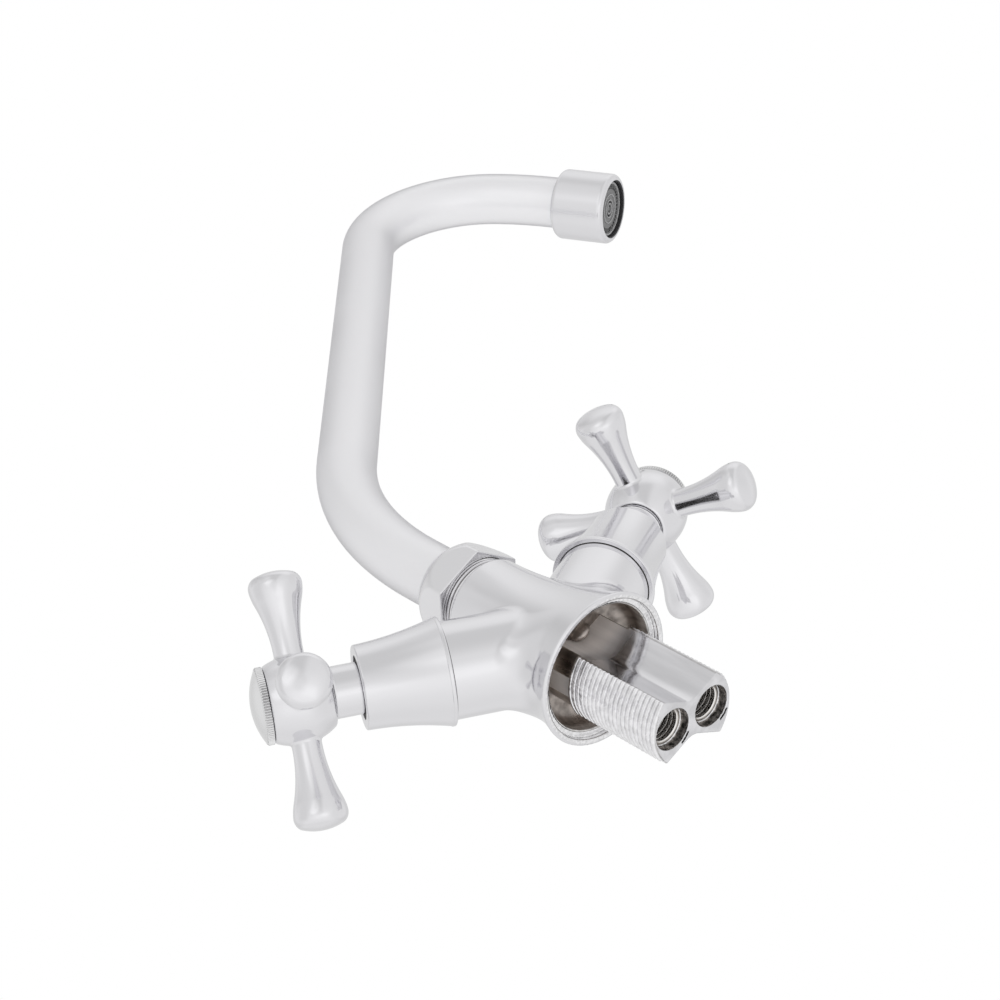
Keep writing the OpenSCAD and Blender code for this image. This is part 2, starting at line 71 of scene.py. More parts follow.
TUBE_R, TUBE_BORE_R, TUBE_START = 9.05, 7.95, 50.2
RISER_TOP, LEAN_R, LEAN_ANGLE, RUN_L = 74.0, 94.5, 41.6, 152.8
CROOK_R, CROOK_ANGLE, DROP_R, DROP_ANGLE, TUBE_END = 38.1, 100.0, 90.2, 14.0, 7.0
SOCKET_R, SOCKET_Z, MIX_R, MIX_Z = 9.06, 34.0, 5.0, 29.0

NUT_AF, NUT_Z, NUT_TOP, NUT_DOME_R, NUT_TURN = 27.2, 49.4, 62.4, 15.9, 33.2

AERATOR_R, AERATOR_START, AERATOR_END, OUTLET_R = 12.5, 3.6, 23.6, 10.4
FERRULE_R, INSERT_AT = 10.9, 17.0
INSERT_R, FACE_AT = 9.65, 22.15
RAISED_RINGS = ((8.95, 9.75), (4.9, 5.4), (2.9, 3.4), (1.6, 2.1))
SUNK_RINGS = ((7.2, 8.75, 38), (2.25, 2.8, 0), (0.8, 1.4, 0))

COVER_START, COVER_END, COVER_BORE_R = 32.2, 55.2, 9.6
VALVE_ROOM_R, VALVE_HEX_END, VALVE_COLLAR_R, VALVE_COLLAR_END = 12.2, 38.6, 7.05, 40.2
COVER_WIDE_R, COVER_NARROW_R, COVER_FLANK_R, MOUTH_GAP_R = 14.6, 11.25, 90.0, 8.5

STEM_R, STEM_START, HUB_START, HUB_END = 6.9, 49.5, 62.5, 79.2
HUB_R, HUB_CURVE_R, HUB_MIDDLE, GRIP_AT = 11.7, 15.4, 72.15, 71.4
GRIP_ROOT_R, GRIP_TIP_R, GRIP_REACH, GRIP_FLARE_R, GRIP_FOOT = 3.95, 7.15, 34.27, 41.0, 12.5
HANDLE_TURN = {"hot": 42.3, "cold": 65.9}
CAP_R, CAP_RIM_H, CAP_SEAT, CAP_PLUG_R, CAP_DOME_R, CAP_DOME_H = 10.2, 2.0, 74.6, 7.5, 9.6, 2.5
SPINDLE_WAY_R, SPLINE_AT, SPLINE_R, SPLINE_END, SCREW_HEAD_R, SCREW_SEAT = 6.1, 56.0, 4.05, 66.2, 4.6, 70.0
KNURL_TEETH, KNURL_DEPTH = 90, 0.42
SIDES = {"hot": -1, "cold": 1}

# ---------------------------------------------------------------- frames


def turn_y(degrees):
    return Matrix.Rotation(math.radians(degrees), 4, "Y")


def turn_z(degrees):
    return Matrix.Rotation(math.radians(degrees), 4, "Z")


def shift(x, y, z):
    return Matrix.Translation((x, y, z))


def on_arm(side, turn=0.0):
    """Local +Z runs out along that side's arm, turned about it."""
    return shift(0, 0, ARM_Z) @ turn_y(SIDES[side] * (90 - ARM_TILT)) @ turn_z(turn)


def past_bend(radius, degrees):
    a = math.radians(degrees)
    return shift(radius * (1 - math.cos(a)), 0, radius * math.sin(a)) @ turn_y(degrees)


IDENTITY = Matrix.Identity(4)
PAST_LEAN = shift(0, 0, RISER_TOP) @ past_bend(LEAN_R, LEAN_ANGLE)
PAST_RUN = PAST_LEAN @ shift(0, 0, RUN_L)
PAST_CROOK = PAST_RUN @ past_bend(CROOK_R, CROOK_ANGLE)
AT_OUTLET = PAST_CROOK @ past_bend(DROP_R, DROP_ANGLE)


def placed(points, matrix):
    m = np.array(matrix)
    return points @ m[:3, :3].T + m[:3, 3]


def turned(vectors, matrix):
    return vectors @ np.array(matrix)[:3, :3].T


# ---------------------------------------------------------------- meshes


def make_piece(name, points, faces, normals, body, materials, stands_for, picks=None):
    """Makes a piece from points in mm, faces, and one normal per face corner.

    picks gives each face its place in the list of materials.
    """
    mesh = bpy.data.meshes.new(name)
    mesh.from_pydata((points * MM).tolist(), [], faces)
    for material in materials:
        mesh.materials.append(material)
    if picks is not None:
        mesh.polygons.foreach_set("material_index", picks.astype(np.int32))
    mesh.polygons.foreach_set("use_smooth", np.ones(len(mesh.polygons), bool))
    mesh.normals_split_custom_set(normals.tolist())
    piece = bpy.data.objects.new(name, mesh)
    bpy.context.scene.collection.objects.link(piece)
    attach(piece, body)
    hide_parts(stands_for)
    return piece


def rounded(corners, step=9.0, smooth_below=14.0):
    """Samples of a closed outline (r, z, fillet radius), each with the normal before and after it.

    The outline runs counter-clockwise, so that its outside is on the right.
    """
    n = len(corners)
    at = [np.array(c[:2], float) for c in corners]
    fillet = [c[2] if len(c) > 2 else 0.0 for c in corners]
    ahead = [(at[(i + 1) % n] - at[i]) for i in range(n)]
    ahead = [d / np.linalg.norm(d) for d in ahead]
    samples = []
    for i in range(n):
        d0, d1 = ahead[i - 1], ahead[i]
        n0, n1 = np.array((d0[1], -d0[0])), np.array((d1[1], -d1[0]))
        bend = math.atan2(d0[0] * d1[1] - d0[1] * d1[0], float(d0 @ d1))
        if fillet[i] > 0 and abs(bend) > 1e-3:
            reach = fillet[i] * math.tan(abs(bend) / 2)
            start = at[i] - d0 * reach
            count = max(2, int(math.degrees(abs(bend)) / step) + 1)
            centre = start - n0 * fillet[i] * (1 if bend > 0 else -1)
            for k in range(count + 1):
                a = bend * k / count
                c, s = math.cos(a), math.sin(a)
                normal = np.array((c * n0[0] - s * n0[1], s * n0[0] + c * n0[1]))
                where = centre + normal * fillet[i] * (1 if bend > 0 else -1)
                samples.append((where, normal, normal))
        elif abs(bend) < math.radians(smooth_below):
            normal = (n0 + n1) / np.linalg.norm(n0 + n1)
            samples.append((at[i], normal, normal))
        else:
            samples.append((at[i], n0, n1))
    return samples


def lathe(samples, segments, depth=None):
    """Points, faces and corner normals of a closed outline turned about Z.

    depth(z, angle) presses it in.
    """
    rings, points, faces, normals = [], [], [], []
    angles = np.arange(segments) * 2 * math.pi / segments
    for where, _, _ in samples:
        if where[0] < 1e-6:
            rings.append([len(points)] * segments)
            points.append((0.0, 0.0, where[1]))
            continue
        rings.append(list(range(len(points), len(points) + segments)))
        for a in angles:
            r = where[0] - (depth(where[1], a) if depth else 0.0)
            points.append((r * math.cos(a), r * math.sin(a), where[1]))
    for i in range(len(samples)):
        k = (i + 1) % len(samples)
        if samples[i][0][0] < 1e-6 and samples[k][0][0] < 1e-6:
            continue
        first, last = samples[i][2], samples[k][1]
        for j in range(segments):
            m = (j + 1) % segments
            corners = [(rings[i][j], first, j, i), (rings[i][m], first, m, i),
                       (rings[k][m], last, m, k), (rings[k][j], last, j, k)]
            if rings[i][j] == rings[i][m]:
                corners.pop(1)
            elif rings[k][j] == rings[k][m]:
                corners.pop(2)
            faces.append([c[0] for c in corners])
            for _, normal, turn, row in corners:
                a, (r, z) = angles[turn], samples[row][0]
                around = 0.0
                if depth and r > 0:
                    around = normal[0] * (depth(z, a + 0.001) - depth(z, a - 0.001)) / (0.002 * r)
                normals.append((normal[0] * math.cos(a) - around * math.sin(a),
                                normal[0] * math.sin(a) + around * math.cos(a), normal[1]))
    return np.array(points), faces, np.array(normals)


def lathed_piece(name, corners, matrix, body, material, stands_for, segments=160):
    points, faces, normals = lathe(rounded(corners), segments)
    return make_piece(name, placed(points, matrix), faces, turned(normals, matrix),
                      body, [material], stands_for)


# ---------------------------------------------------------------- distance fields


def join(a, b, radius):
    """Union of two fields with a round fillet."""
    inner = np.maximum(radius, np.minimum(a, b))
    return inner - np.hypot(np.maximum(radius - a, 0), np.maximum(radius - b, 0))


def meet(a, b, radius):
    """Intersection of two fields with a rounded edge."""
    return -join(-a, -b, radius)


def carve(a, b, radius):
    """Field a less field b, with a rounded edge."""
    return meet(a, -b, radius)


def rod(x, y, z, radius, z0, z1, edge=0.0):
    """A cylinder along Z with rounded edges."""
    side = np.hypot(x, y) - radius
    ends = np.abs(z - (z0 + z1) / 2) - (z1 - z0) / 2
    return meet(side, ends, edge) if edge > 0 else np.maximum(side, ends)


def smooth_step(value, low, high):
    t = np.clip((value - low) / (high - low), 0, 1)
    return t * t * (3 - 2 * t)


SLOPE_STEP = 0.02


def surface_net(field, low, high, step):
    """Points, quads and point normals of a field's zero surface inside a box."""
    axes = [np.arange(lo, hi + step, step) for lo, hi in zip(low, high)]
    gx, gy, gz = np.meshgrid(*axes, indexing="ij")
    value = field(gx, gy, gz)
    shape = value.shape
    inside = value < 0
    corner = [inside[i:shape[0] - 1 + i, j:shape[1] - 1 + j, k:shape[2] - 1 + k]
              for i in (0, 1) for j in (0, 1) for k in (0, 1)]
    held = sum(c.astype(np.int8) for c in corner)
    mixed = (held > 0) & (held < 8)
    index = -np.ones(mixed.shape, np.int64)
    cells = np.argwhere(mixed)
    index[mixed] = np.arange(len(cells))
    total = np.zeros((len(cells), 3))
    count = np.zeros(len(cells))
    ci, cj, ck = cells.T
    for axis in range(3):
        others = [a for a in range(3) if a != axis]
        for u in (0, 1):
            for v in (0, 1):
                off = [0, 0, 0]
                off[others[0]], off[others[1]] = u, v
                a = value[ci + off[0], cj + off[1], ck + off[2]]
                end = list(off)
                end[axis] = 1
                b = value[ci + end[0], cj + end[1], ck + end[2]]
                crossed = (a < 0) != (b < 0)
                t = np.where(crossed, a / np.where(crossed, a - b, 1), 0)
                at = cells + np.array(off, float)
                at[:, axis] += t
                total[crossed] += at[crossed]
                count[crossed] += 1
    points = np.array([ax[0] for ax in axes]) + total / count[:, None] * step
    faces = []
    for axis in range(3):
        u, v = (axis + 1) % 3, (axis + 2) % 3
        near = [slice(None)] * 3
        far = [slice(None)] * 3
        near[axis], far[axis] = slice(0, -1), slice(1, None)
        a, b = inside[tuple(near)], inside[tuple(far)]
        edges = np.argwhere(a != b)
        keep = (edges[:, u] > 0) & (edges[:, v] > 0)
        keep &= (edges[:, u] < mixed.shape[u]) & (edges[:, v] < mixed.shape[v])
        edges = edges[keep]
        outwards = a[tuple(edges.T)]
        quad = []
        for du, dv in ((-1, -1), (0, -1), (0, 0), (-1, 0)):
            cell = edges.copy()
            cell[:, u] += du
            cell[:, v] += dv
            quad.append(index[tuple(cell.T)])
        quad = np.stack(quad, 1)
        quad[~outwards] = quad[~outwards][:, ::-1]
        faces.append(quad)
    faces = np.concatenate(faces)

    def slope(p):
        parts = []
        for axis in range(3):
            up, down = p.copy(), p.copy()
            up[:, axis] += SLOPE_STEP
            down[:, axis] -= SLOPE_STEP
            parts.append((field(*up.T) - field(*down.T)) / (2 * SLOPE_STEP))
        return np.stack(parts, 1)

    for _ in range(3):
        g = slope(points)
        move = field(*points.T)[:, None] * g / np.maximum((g * g).sum(1, keepdims=True), 1e-6)
        length = np.linalg.norm(move, axis=1, keepdims=True)
        points = points - move * np.minimum(1, step / np.maximum(length, 1e-9))
    g = slope(points)
    return points, faces, g / np.maximum(np.linalg.norm(g, axis=1, keepdims=True), 1e-9)


def field_piece(name, field, low, high, step, matrix, body, materials, stands_for, zones=None):
    """zones(points, normals) picks the material of each face from its middle."""
    points, faces, normals = surface_net(field, low, high, step)
    picks = zones(points[faces].mean(1), normals[faces].mean(1)) if zones else None
    corner_normals = turned(normals, matrix)[faces.reshape(-1)]
    return make_piece(name, placed(points, matrix), faces.tolist(), corner_normals,
                      body, materials, stands_for, picks)


# ---------------------------------------------------------------- materials


def new_material(name):
    material = bpy.data.materials.new(name)
    material.use_nodes = True
    nodes = material.node_tree.nodes
    return material, nodes, material.node_tree.links, nodes["Principled BSDF"]


def noise(nodes, links, scale, detail=2.0, stretch=(1, 1, 1)):
    """A noise texture in object space, in metres."""
    where = nodes.new("ShaderNodeTexCoord")
    mapping = nodes.new("ShaderNodeMapping")
    mapping.inputs["Scale"].default_value = stretch
    texture = nodes.new("ShaderNodeTexNoise")
    texture.inputs["Scale"].default_value = scale
    texture.inputs["Detail"].default_value = detail
    links.new(where.outputs["Object"], mapping.inputs["Vector"])
    links.new(mapping.outputs["Vector"], texture.inputs["Vector"])
    return texture


def spread(nodes, links, source, low, high, to_low, to_high):
    node = nodes.new("ShaderNodeMapRange")
    for key, value in (("From Min", low), ("From Max", high), ("To Min", to_low), ("To Max", to_high)):
        node.inputs[key].default_value = value
    links.new(source, node.inputs["Value"])
    return node.outputs["Result"]


def finished(name, colour, metallic, rough, grain, wave, stretch=(1, 1, 1)):
    """A surface with cloudy roughness and two scales of bump.

    rough is (lowest, highest, noise scale); grain and wave are (height in m, noise scale).
    """
    material, nodes, links, shader = new_material(name)
    shader.inputs["Base Color"].default_value = (*colour, 1)
    shader.inputs["Metallic"].default_value = metallic
    cloud = noise(nodes, links, rough[2], 3.0, stretch)
    links.new(spread(nodes, links, cloud.outputs["Fac"], 0.3, 0.7, rough[0], rough[1]),
              shader.inputs["Roughness"])
    previous = None
    for height, scale in (wave, grain):
        bump = nodes.new("ShaderNodeBump")
        bump.inputs["Strength"].default_value = 1.0
        bump.inputs["Distance"].default_value = height
        texture = noise(nodes, links, scale, 2.0, stretch)
        links.new(texture.outputs["Fac"], bump.inputs["Height"])
        if previous:
            links.new(previous.outputs["Normal"], bump.inputs["Normal"])
        previous = bump
    links.new(previous.outputs["Normal"], shader.inputs["Normal"])
    return material


def maths(nodes, links, operation, *values):
    """One step of arithmetic on sockets and numbers."""
    node = nodes.new("ShaderNodeMath")
    node.operation = operation
    for socket, value in zip(node.inputs, values):
        if isinstance(value, float):
            socket.default_value = value
        else:
            links.new(value, socket)
    return node.outputs["Value"]


def reach(nodes, links, to_axis, low, high, beside=0.0):
    """0 at low and 1 at high, in metres: height along the Z axis, or distance from it.

    With beside, the distance is taken from the two axes that stand that far to its sides.
    """
    where = nodes.new("ShaderNodeTexCoord")
    split = nodes.new("ShaderNodeSeparateXYZ")
    links.new(where.outputs["Object"], split.inputs["Vector"])
    source = split.outputs["Z"]
    if to_axis:
        flat = nodes.new("ShaderNodeCombineXYZ")
        across = split.outputs["X"]
        if beside:
            across = maths(nodes, links, "SUBTRACT", maths(nodes, links, "ABSOLUTE", across), beside)
        links.new(across, flat.inputs["X"])
        links.new(split.outputs["Y"], flat.inputs["Y"])
        size = nodes.new("ShaderNodeVectorMath")
        size.operation = "LENGTH"
        links.new(flat.outputs["Vector"], size.inputs[0])
        source = size.outputs["Value"]
    node = nodes.new("ShaderNodeMapRange")
    node.interpolation_type = "SMOOTHSTEP"
    node.inputs["From Min"].default_value = low
    node.inputs["From Max"].default_value = high
    links.new(source, node.inputs["Value"])
    return node.outputs["Result"]


def shaded(material, to_axis, low, high, at_low, at_high, beside=0.0):
    """Runs the base colour from one value to the other across a stretch of the part.

    Without at_low, it starts from the colour that the material has so far.
    """
    nodes, links = material.node_tree.nodes, material.node_tree.links
    mix = nodes.new("ShaderNodeMix")
    mix.data_type = "RGBA"
    links.new(reach(nodes, links, to_axis, low, high, beside), mix.inputs["Factor"])
    colour = nodes["Principled BSDF"].inputs["Base Color"]
    if at_low:
        mix.inputs["A"].default_value = (*at_low, 1)
    else:
        links.new(colour.links[0].from_socket, mix.inputs["A"])
    mix.inputs["B"].default_value = (*at_high, 1)
    links.new(mix.outputs["Result"], colour)
    return material


def eased(material, name, to_axis, low, high, extra):
    """Adds to one of the shader's values across a stretch of the part."""
    nodes, links = material.node_tree.nodes, material.node_tree.links
    socket = nodes["Principled BSDF"].inputs[name]
    before = socket.links[0].from_socket if socket.links else socket.default_value
    share = reach(nodes, links, to_axis, low, high)
    links.new(maths(nodes, links, "MULTIPLY_ADD", share, extra, before), socket)
    return material


def mottled(material, scale, low, high, stretch=(1, 1, 1)):
    """Darkens the base colour in small cloudy patches, from high down to low."""
    nodes, links = material.node_tree.nodes, material.node_tree.links
    colour = nodes["Principled BSDF"].inputs["Base Color"]
    patches = noise(nodes, links, scale, 3.0, stretch)
    level = spread(nodes, links, patches.outputs["Fac"], 0.36, 0.64, low, high)
    mix = nodes.new("ShaderNodeMix")
    mix.data_type = "RGBA"
    mix.blend_type = "MULTIPLY"
    mix.inputs["Factor"].default_value = 1.0
    mix.inputs["A"].default_value = colour.default_value
    if colour.links:
        links.new(colour.links[0].from_socket, mix.inputs["A"])
    links.new(level, mix.inputs["B"])
    links.new(mix.outputs["Result"], colour)
    return material


ALONG = "along"


def brushed_round(material, edge, stretch):
    """Brushed round a tube: its gloss is drawn out along it, and dulls to the edge tint at its sides.

    The mesh carries the tube's own direction in the attribute ALONG.
    """
    nodes, links = material.node_tree.nodes, material.node_tree.links
    shader = nodes["Principled BSDF"]
    shader.inputs["Specular Tint"].default_value = (*edge, 1)
    shader.inputs["Anisotropic"].default_value = stretch
    along = nodes.new("ShaderNodeAttribute")
    along.attribute_name = ALONG
    links.new(along.outputs["Vector"], shader.inputs["Tangent"])
    return material


CHROME = (0.792, 0.788, 0.807)
chrome = finished("polished_chrome", CHROME, 1.0, (0.09, 0.13, 60), (1e-6, 3000), (5e-6, 90))
body_chrome = finished("cast_chrome", CHROME, 1.0, (0.10, 0.15, 45), (2e-6, 1500), (1.6e-5, 70))
cover_chrome = finished("cover_chrome", CHROME, 1.0, (0.14, 0.19, 50), (1e-6, 3000), (6e-6, 80))
aerator_chrome = finished("aerator_chrome", CHROME, 1.0, (0.2, 0.25, 50), (1e-6, 3000), (6e-6, 80))
nut_chrome = finished("nut_chrome", (0.82, 0.816, 0.832), 1.0, (0.15, 0.24, 120), (3e-6, 1500), (1.5e-5, 220))
rim_cast = mottled(
    finished("rim_cast", (0.93, 0.925, 0.935), 1.0, (0.12, 0.24, 300), (2e-5, 1200), (7e-5, 450)),
    900, 0.8, 1.0)
STREAKS = (1, 1, 0.22)
# Painted light near the hollow's opening and painted shade deeper in; the grey-brown streaky tone is the
# casting's own.
raw_cast_painted_light_and_shade = mottled(
    shaded(finished("raw_cast_painted_light_and_shade", (0.3, 0.3, 0.3), 1.0, (0.26, 0.42, 300), (2e-5, 1100), (9e-5, 330), STREAKS),
           False, 0.003, 0.0065, (0.95, 0.93, 0.915), (0.5, 0.45, 0.415)), 420, 0.55, 1.0, STREAKS)
# Painted shade on the core inside the hollow, darker deeper in; the brownish streaky tone is the casting's
# own.
core_cast_painted_shade = mottled(
    shaded(finished("core_cast_painted_shade", (0.3, 0.3, 0.3), 1.0, (0.22, 0.4, 300), (2e-5, 1100), (9e-5, 330), STREAKS),
           False, -0.001, 0.004, (0.78, 0.72, 0.67), (0.52, 0.465, 0.42)), 420, 0.6, 1.0, STREAKS)
shank_chrome = mottled(
    shaded(finished("shank_chrome", CHROME, 1.0, (0.08, 0.16, 90), (3e-6, 1500), (2.5e-5, 110)),
           False, -0.003, 0.004, CHROME, (0.97, 0.91, 0.875)), 260, 0.84, 1.0, (1, 1, 0.12))
eased(shank_chrome, "Roughness", False, -0.006, 0.002, 0.5)
eased(shank_chrome, "Metallic", False, -0.001, 0.005, -0.7)
# Painted shade in the roots of the shank's thread, darker below the crests.
thread_chrome = mottled(
    shaded(finished("thread_chrome", CHROME, 1.0, (0.10, 0.22, 300), (1.6e-5, 1500), (9e-5, 480)),
           True, 0.0129, 0.0133, (0.6, 0.59, 0.595), (0.96, 0.955, 0.97)), 560, 0.86, 1.0)
# Painted shade in the roots of the neck's thread.
neck_chrome_painted_shade = shaded(finished("neck_chrome_painted_shade", CHROME, 1.0, (0.10, 0.2, 300), (4e-6, 1500), (8e-6, 300)),
                     True, 0.0119, 0.01225, (0.33, 0.32, 0.32), (0.88, 0.875, 0.89))
bore_wall = mottled(
    finished("bore_wall", (0.85, 0.82, 0.80), 1.0, (0.25, 0.45, 600), (3e-5, 1300), (8e-5, 700)),
    800, 0.16, 1.0)
# Painted shade in the grooves of the hose holes' threads, taken from each hole's axis.
bore_thread_painted_shade = shaded(finished("bore_thread_painted_shade", CHROME, 1.0, (0.2, 0.3, 500), (2e-6, 1500), (4e-6, 500)),
                     True, 0.00465, 0.0049, (0.92, 0.90, 0.88), (0.4, 0.375, 0.35), 0.001 * HOSE_X)
# Near-black painted shade, for the hose slots and the gaps round the bonnet covers.
painted_shade_dark = finished("painted_shade_dark", (0.05, 0.048, 0.046), 0.0, (0.5, 0.7, 600), (1e-5, 1300), (1e-5, 500))
cap_chrome = finished("cap_chrome", (0.80, 0.80, 0.805), 1.0, (0.10, 0.16, 80), (1e-6, 3000), (3e-6, 120))
# Painted shade for the valleys of the caps' knurl.
knurl_painted_shade = finished("knurl_painted_shade", (0.6, 0.595, 0.6), 1.0, (0.2, 0.3, 500), (3e-6, 2000), (6e-6, 400))
tube_chrome = brushed_round(
    finished("satin_tube", (0.985, 0.982, 1.0), 0.55, (0.34, 0.42, 25), (2e-6, 2500), (5e-6, 50)),
    (0.12, 0.115, 0.125), 0.5)
brass = finished("brass", (0.72, 0.50, 0.22), 1.0, (0.22, 0.34, 90), (3e-6, 1800), (5e-6, 200))
steel = finished("steel", (0.60, 0.60, 0.61), 1.0, (0.22, 0.34, 120), (2e-6, 2000), (4e-6, 200))
ceramic = finished("ceramic", (0.86, 0.85, 0.82), 0.0, (0.12, 0.2, 150), (1e-6, 2000), (2e-6, 200))
rubber = finished("seal_rubber", (0.018, 0.018, 0.019), 0.0, (0.5, 0.65, 200), (5e-6, 2500), (5e-6, 300))
plastic = finished("insert_plastic", (0.22, 0.22, 0.222), 0.0, (0.4, 0.5, 200), (3e-6, 2500), (5e-6, 300))
# Painted highlight on the insert's raised rings, and near-black painted shade in its sunk slots, its sides
# and the gap round it.
ring_plastic = finished("ring_plastic", (0.46, 0.46, 0.465), 0.0, (0.4, 0.5, 200), (3e-6, 2500), (5e-6, 300))
insert_painted_shade = finished("insert_painted_shade", (0.03, 0.03, 0.032), 0.0, (0.4, 0.55, 200), (3e-6, 2500), (5e-6, 300))
MATERIALS = {
    "body_chrome": body_chrome, "chrome": chrome, "cap_chrome": cap_chrome, "tube_chrome": tube_chrome,
    "brass": brass, "steel": steel, "ceramic": ceramic, "seal_rubber": rubber, "insert_plastic": plastic,
}
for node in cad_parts.values():
    for slot in node.material_slots:
        slot.material = MATERIALS[slot.material.name.split(".")[0]]

# ---------------------------------------------------------------- spout tube


def spout_path(step=1.5):
    """Stations down the middle of the tube, each as a matrix whose +Z runs along it."""
    stations = []

    def straight(start, length):
        count = max(2, int(length / 12))
        stations.extend(start @ shift(0, 0, length * i / count) for i in range(count))
        return start @ shift(0, 0, length)

    def bend(start, radius, degrees):
        count = max(2, int(degrees / step))
        stations.extend(start @ past_bend(radius, degrees * i / count) for i in range(count))
        return start @ past_bend(radius, degrees)

    end = straight(shift(0, 0, TUBE_START), RISER_TOP - TUBE_START)
    end = bend(end, LEAN_R, LEAN_ANGLE)
    end = straight(end, RUN_L)
    end = bend(end, CROOK_R, CROOK_ANGLE)
    end = bend(end, DROP_R, DROP_ANGLE)
    end = straight(end, TUBE_END)
    stations.append(end)
    return stations


def make_tube(segments=128):
    stations = spout_path()
    angles = np.arange(segments) * 2 * math.pi / segments
    circle = np.stack([np.cos(angles), np.sin(angles), np.zeros(segments)], 1)
    points, outs, runs = [], [], []
    for radius in (TUBE_R, TUBE_BORE_R):
        for station in stations:
            points.append(placed(circle * radius, station))
            outs.append(turned(circle, station))
            runs.extend([tuple(station.col[2][:3])] * segments)
    count = len(stations)
    faces, normals = [], []

    def quad(rows, columns, sign):
        faces.append([r * segments + c for r, c in zip(rows, columns)])
        normals.extend(sign * outs[r][c] for r, c in zip(rows, columns))

    for i in range(count - 1):
        for j in range(segments):
            m = (j + 1) % segments
            quad((i, i, i + 1, i + 1), (j, m, m, j), 1)
            o = count + i
            quad((o + 1, o + 1, o, o), (j, m, m, j), -1)
    for row, other, along in ((0, count, -1), (count - 1, 2 * count - 1, 1)):
        direction = turned(np.array([[0, 0, along]], float), stations[0 if along < 0 else -1])[0]
        for j in range(segments):
            m = (j + 1) % segments
            rows, columns = (row, row, other, other), (j, m, m, j)
            if along < 0:
                rows, columns = rows[::-1], columns[::-1]
            faces.append([r * segments + c for r, c in zip(rows, columns)])
            normals.extend([direction] * 4)
    tube = make_piece("spout_pipe", np.concatenate(points), faces, np.array(normals),
                      "spout", [tube_chrome], "spout_tube")
    along = tube.data.attributes.new(ALONG, "FLOAT_VECTOR", "POINT")
    along.data.foreach_set("vector", np.array(runs).ravel())


make_tube()

# ---------------------------------------------------------------- body


def turning_r(z):
    """Radius of the waisted curve."""
    drop = np.clip(NECK_H - z, 0, NECK_H + 5)
    return np.minimum(NECK_R + WAIST_R - np.sqrt(WAIST_R ** 2 - drop ** 2), BASE_R)


def arm_fields(x, y, z):
    """Distance from each arm's axis and place along it, hot then cold."""
    tilt = math.radians(ARM_TILT)
    found = []
    for side in (-1, 1):
        along = side * x * math.cos(tilt) + (z - ARM_Z) * math.sin(tilt)
        across = -side * x * math.sin(tilt) + (z - ARM_Z) * math.cos(tilt)
        found.append((np.hypot(across, y), along, across))
    return found


def body_field(x, y, z):
    rho = np.hypot(x, y)
    lean = np.cos(np.arcsin(np.clip(NECK_H - z, 0, 50) / WAIST_R))
    turned_part = (rho - turning_r(z)) * lean
    for away, along, across in arm_fields(x, y, z):
        arm = meet(away - ARM_R, along - ARM_L, 0.5)
        arm = np.maximum(arm, -along)
        fillet = 0.8 + 7.0 * smooth_step(-across, 0, 11)
        turned_part = join(turned_part, arm, fillet)
    shell = meet(turned_part, z - NECK_H, 0.5)
    shell = meet(shell, -z, 0.7)
    recess = rod(x, y, z, RECESS_R, -5, RECESS_H, 0.3)
    hollow = rod(x, y, z, HOLLOW_R + 0.2, -5, HOLLOW_H + 0.15, 4.0)
    shell = carve(shell, join(recess, hollow, 0.3), 0.6)
    for away, along, _ in arm_fields(x, y, z):
        chamber = np.maximum(away - CHAMBER_R, np.maximum(SEAT_AT - along, along - MOUTH_AT))
        mouth = np.maximum(away - MOUTH_R, MOUTH_AT - 0.3 - along)
        shell = np.maximum(shell, -np.minimum(chamber, mouth))
    socket = rod(x, y, z, SOCKET_R, SOCKET_Z, NECK_H + 5)
    mix = rod(x, y, z, MIX_R, MIX_Z - 4, SOCKET_Z + 1)
    return np.maximum(shell, -np.minimum(socket, mix))


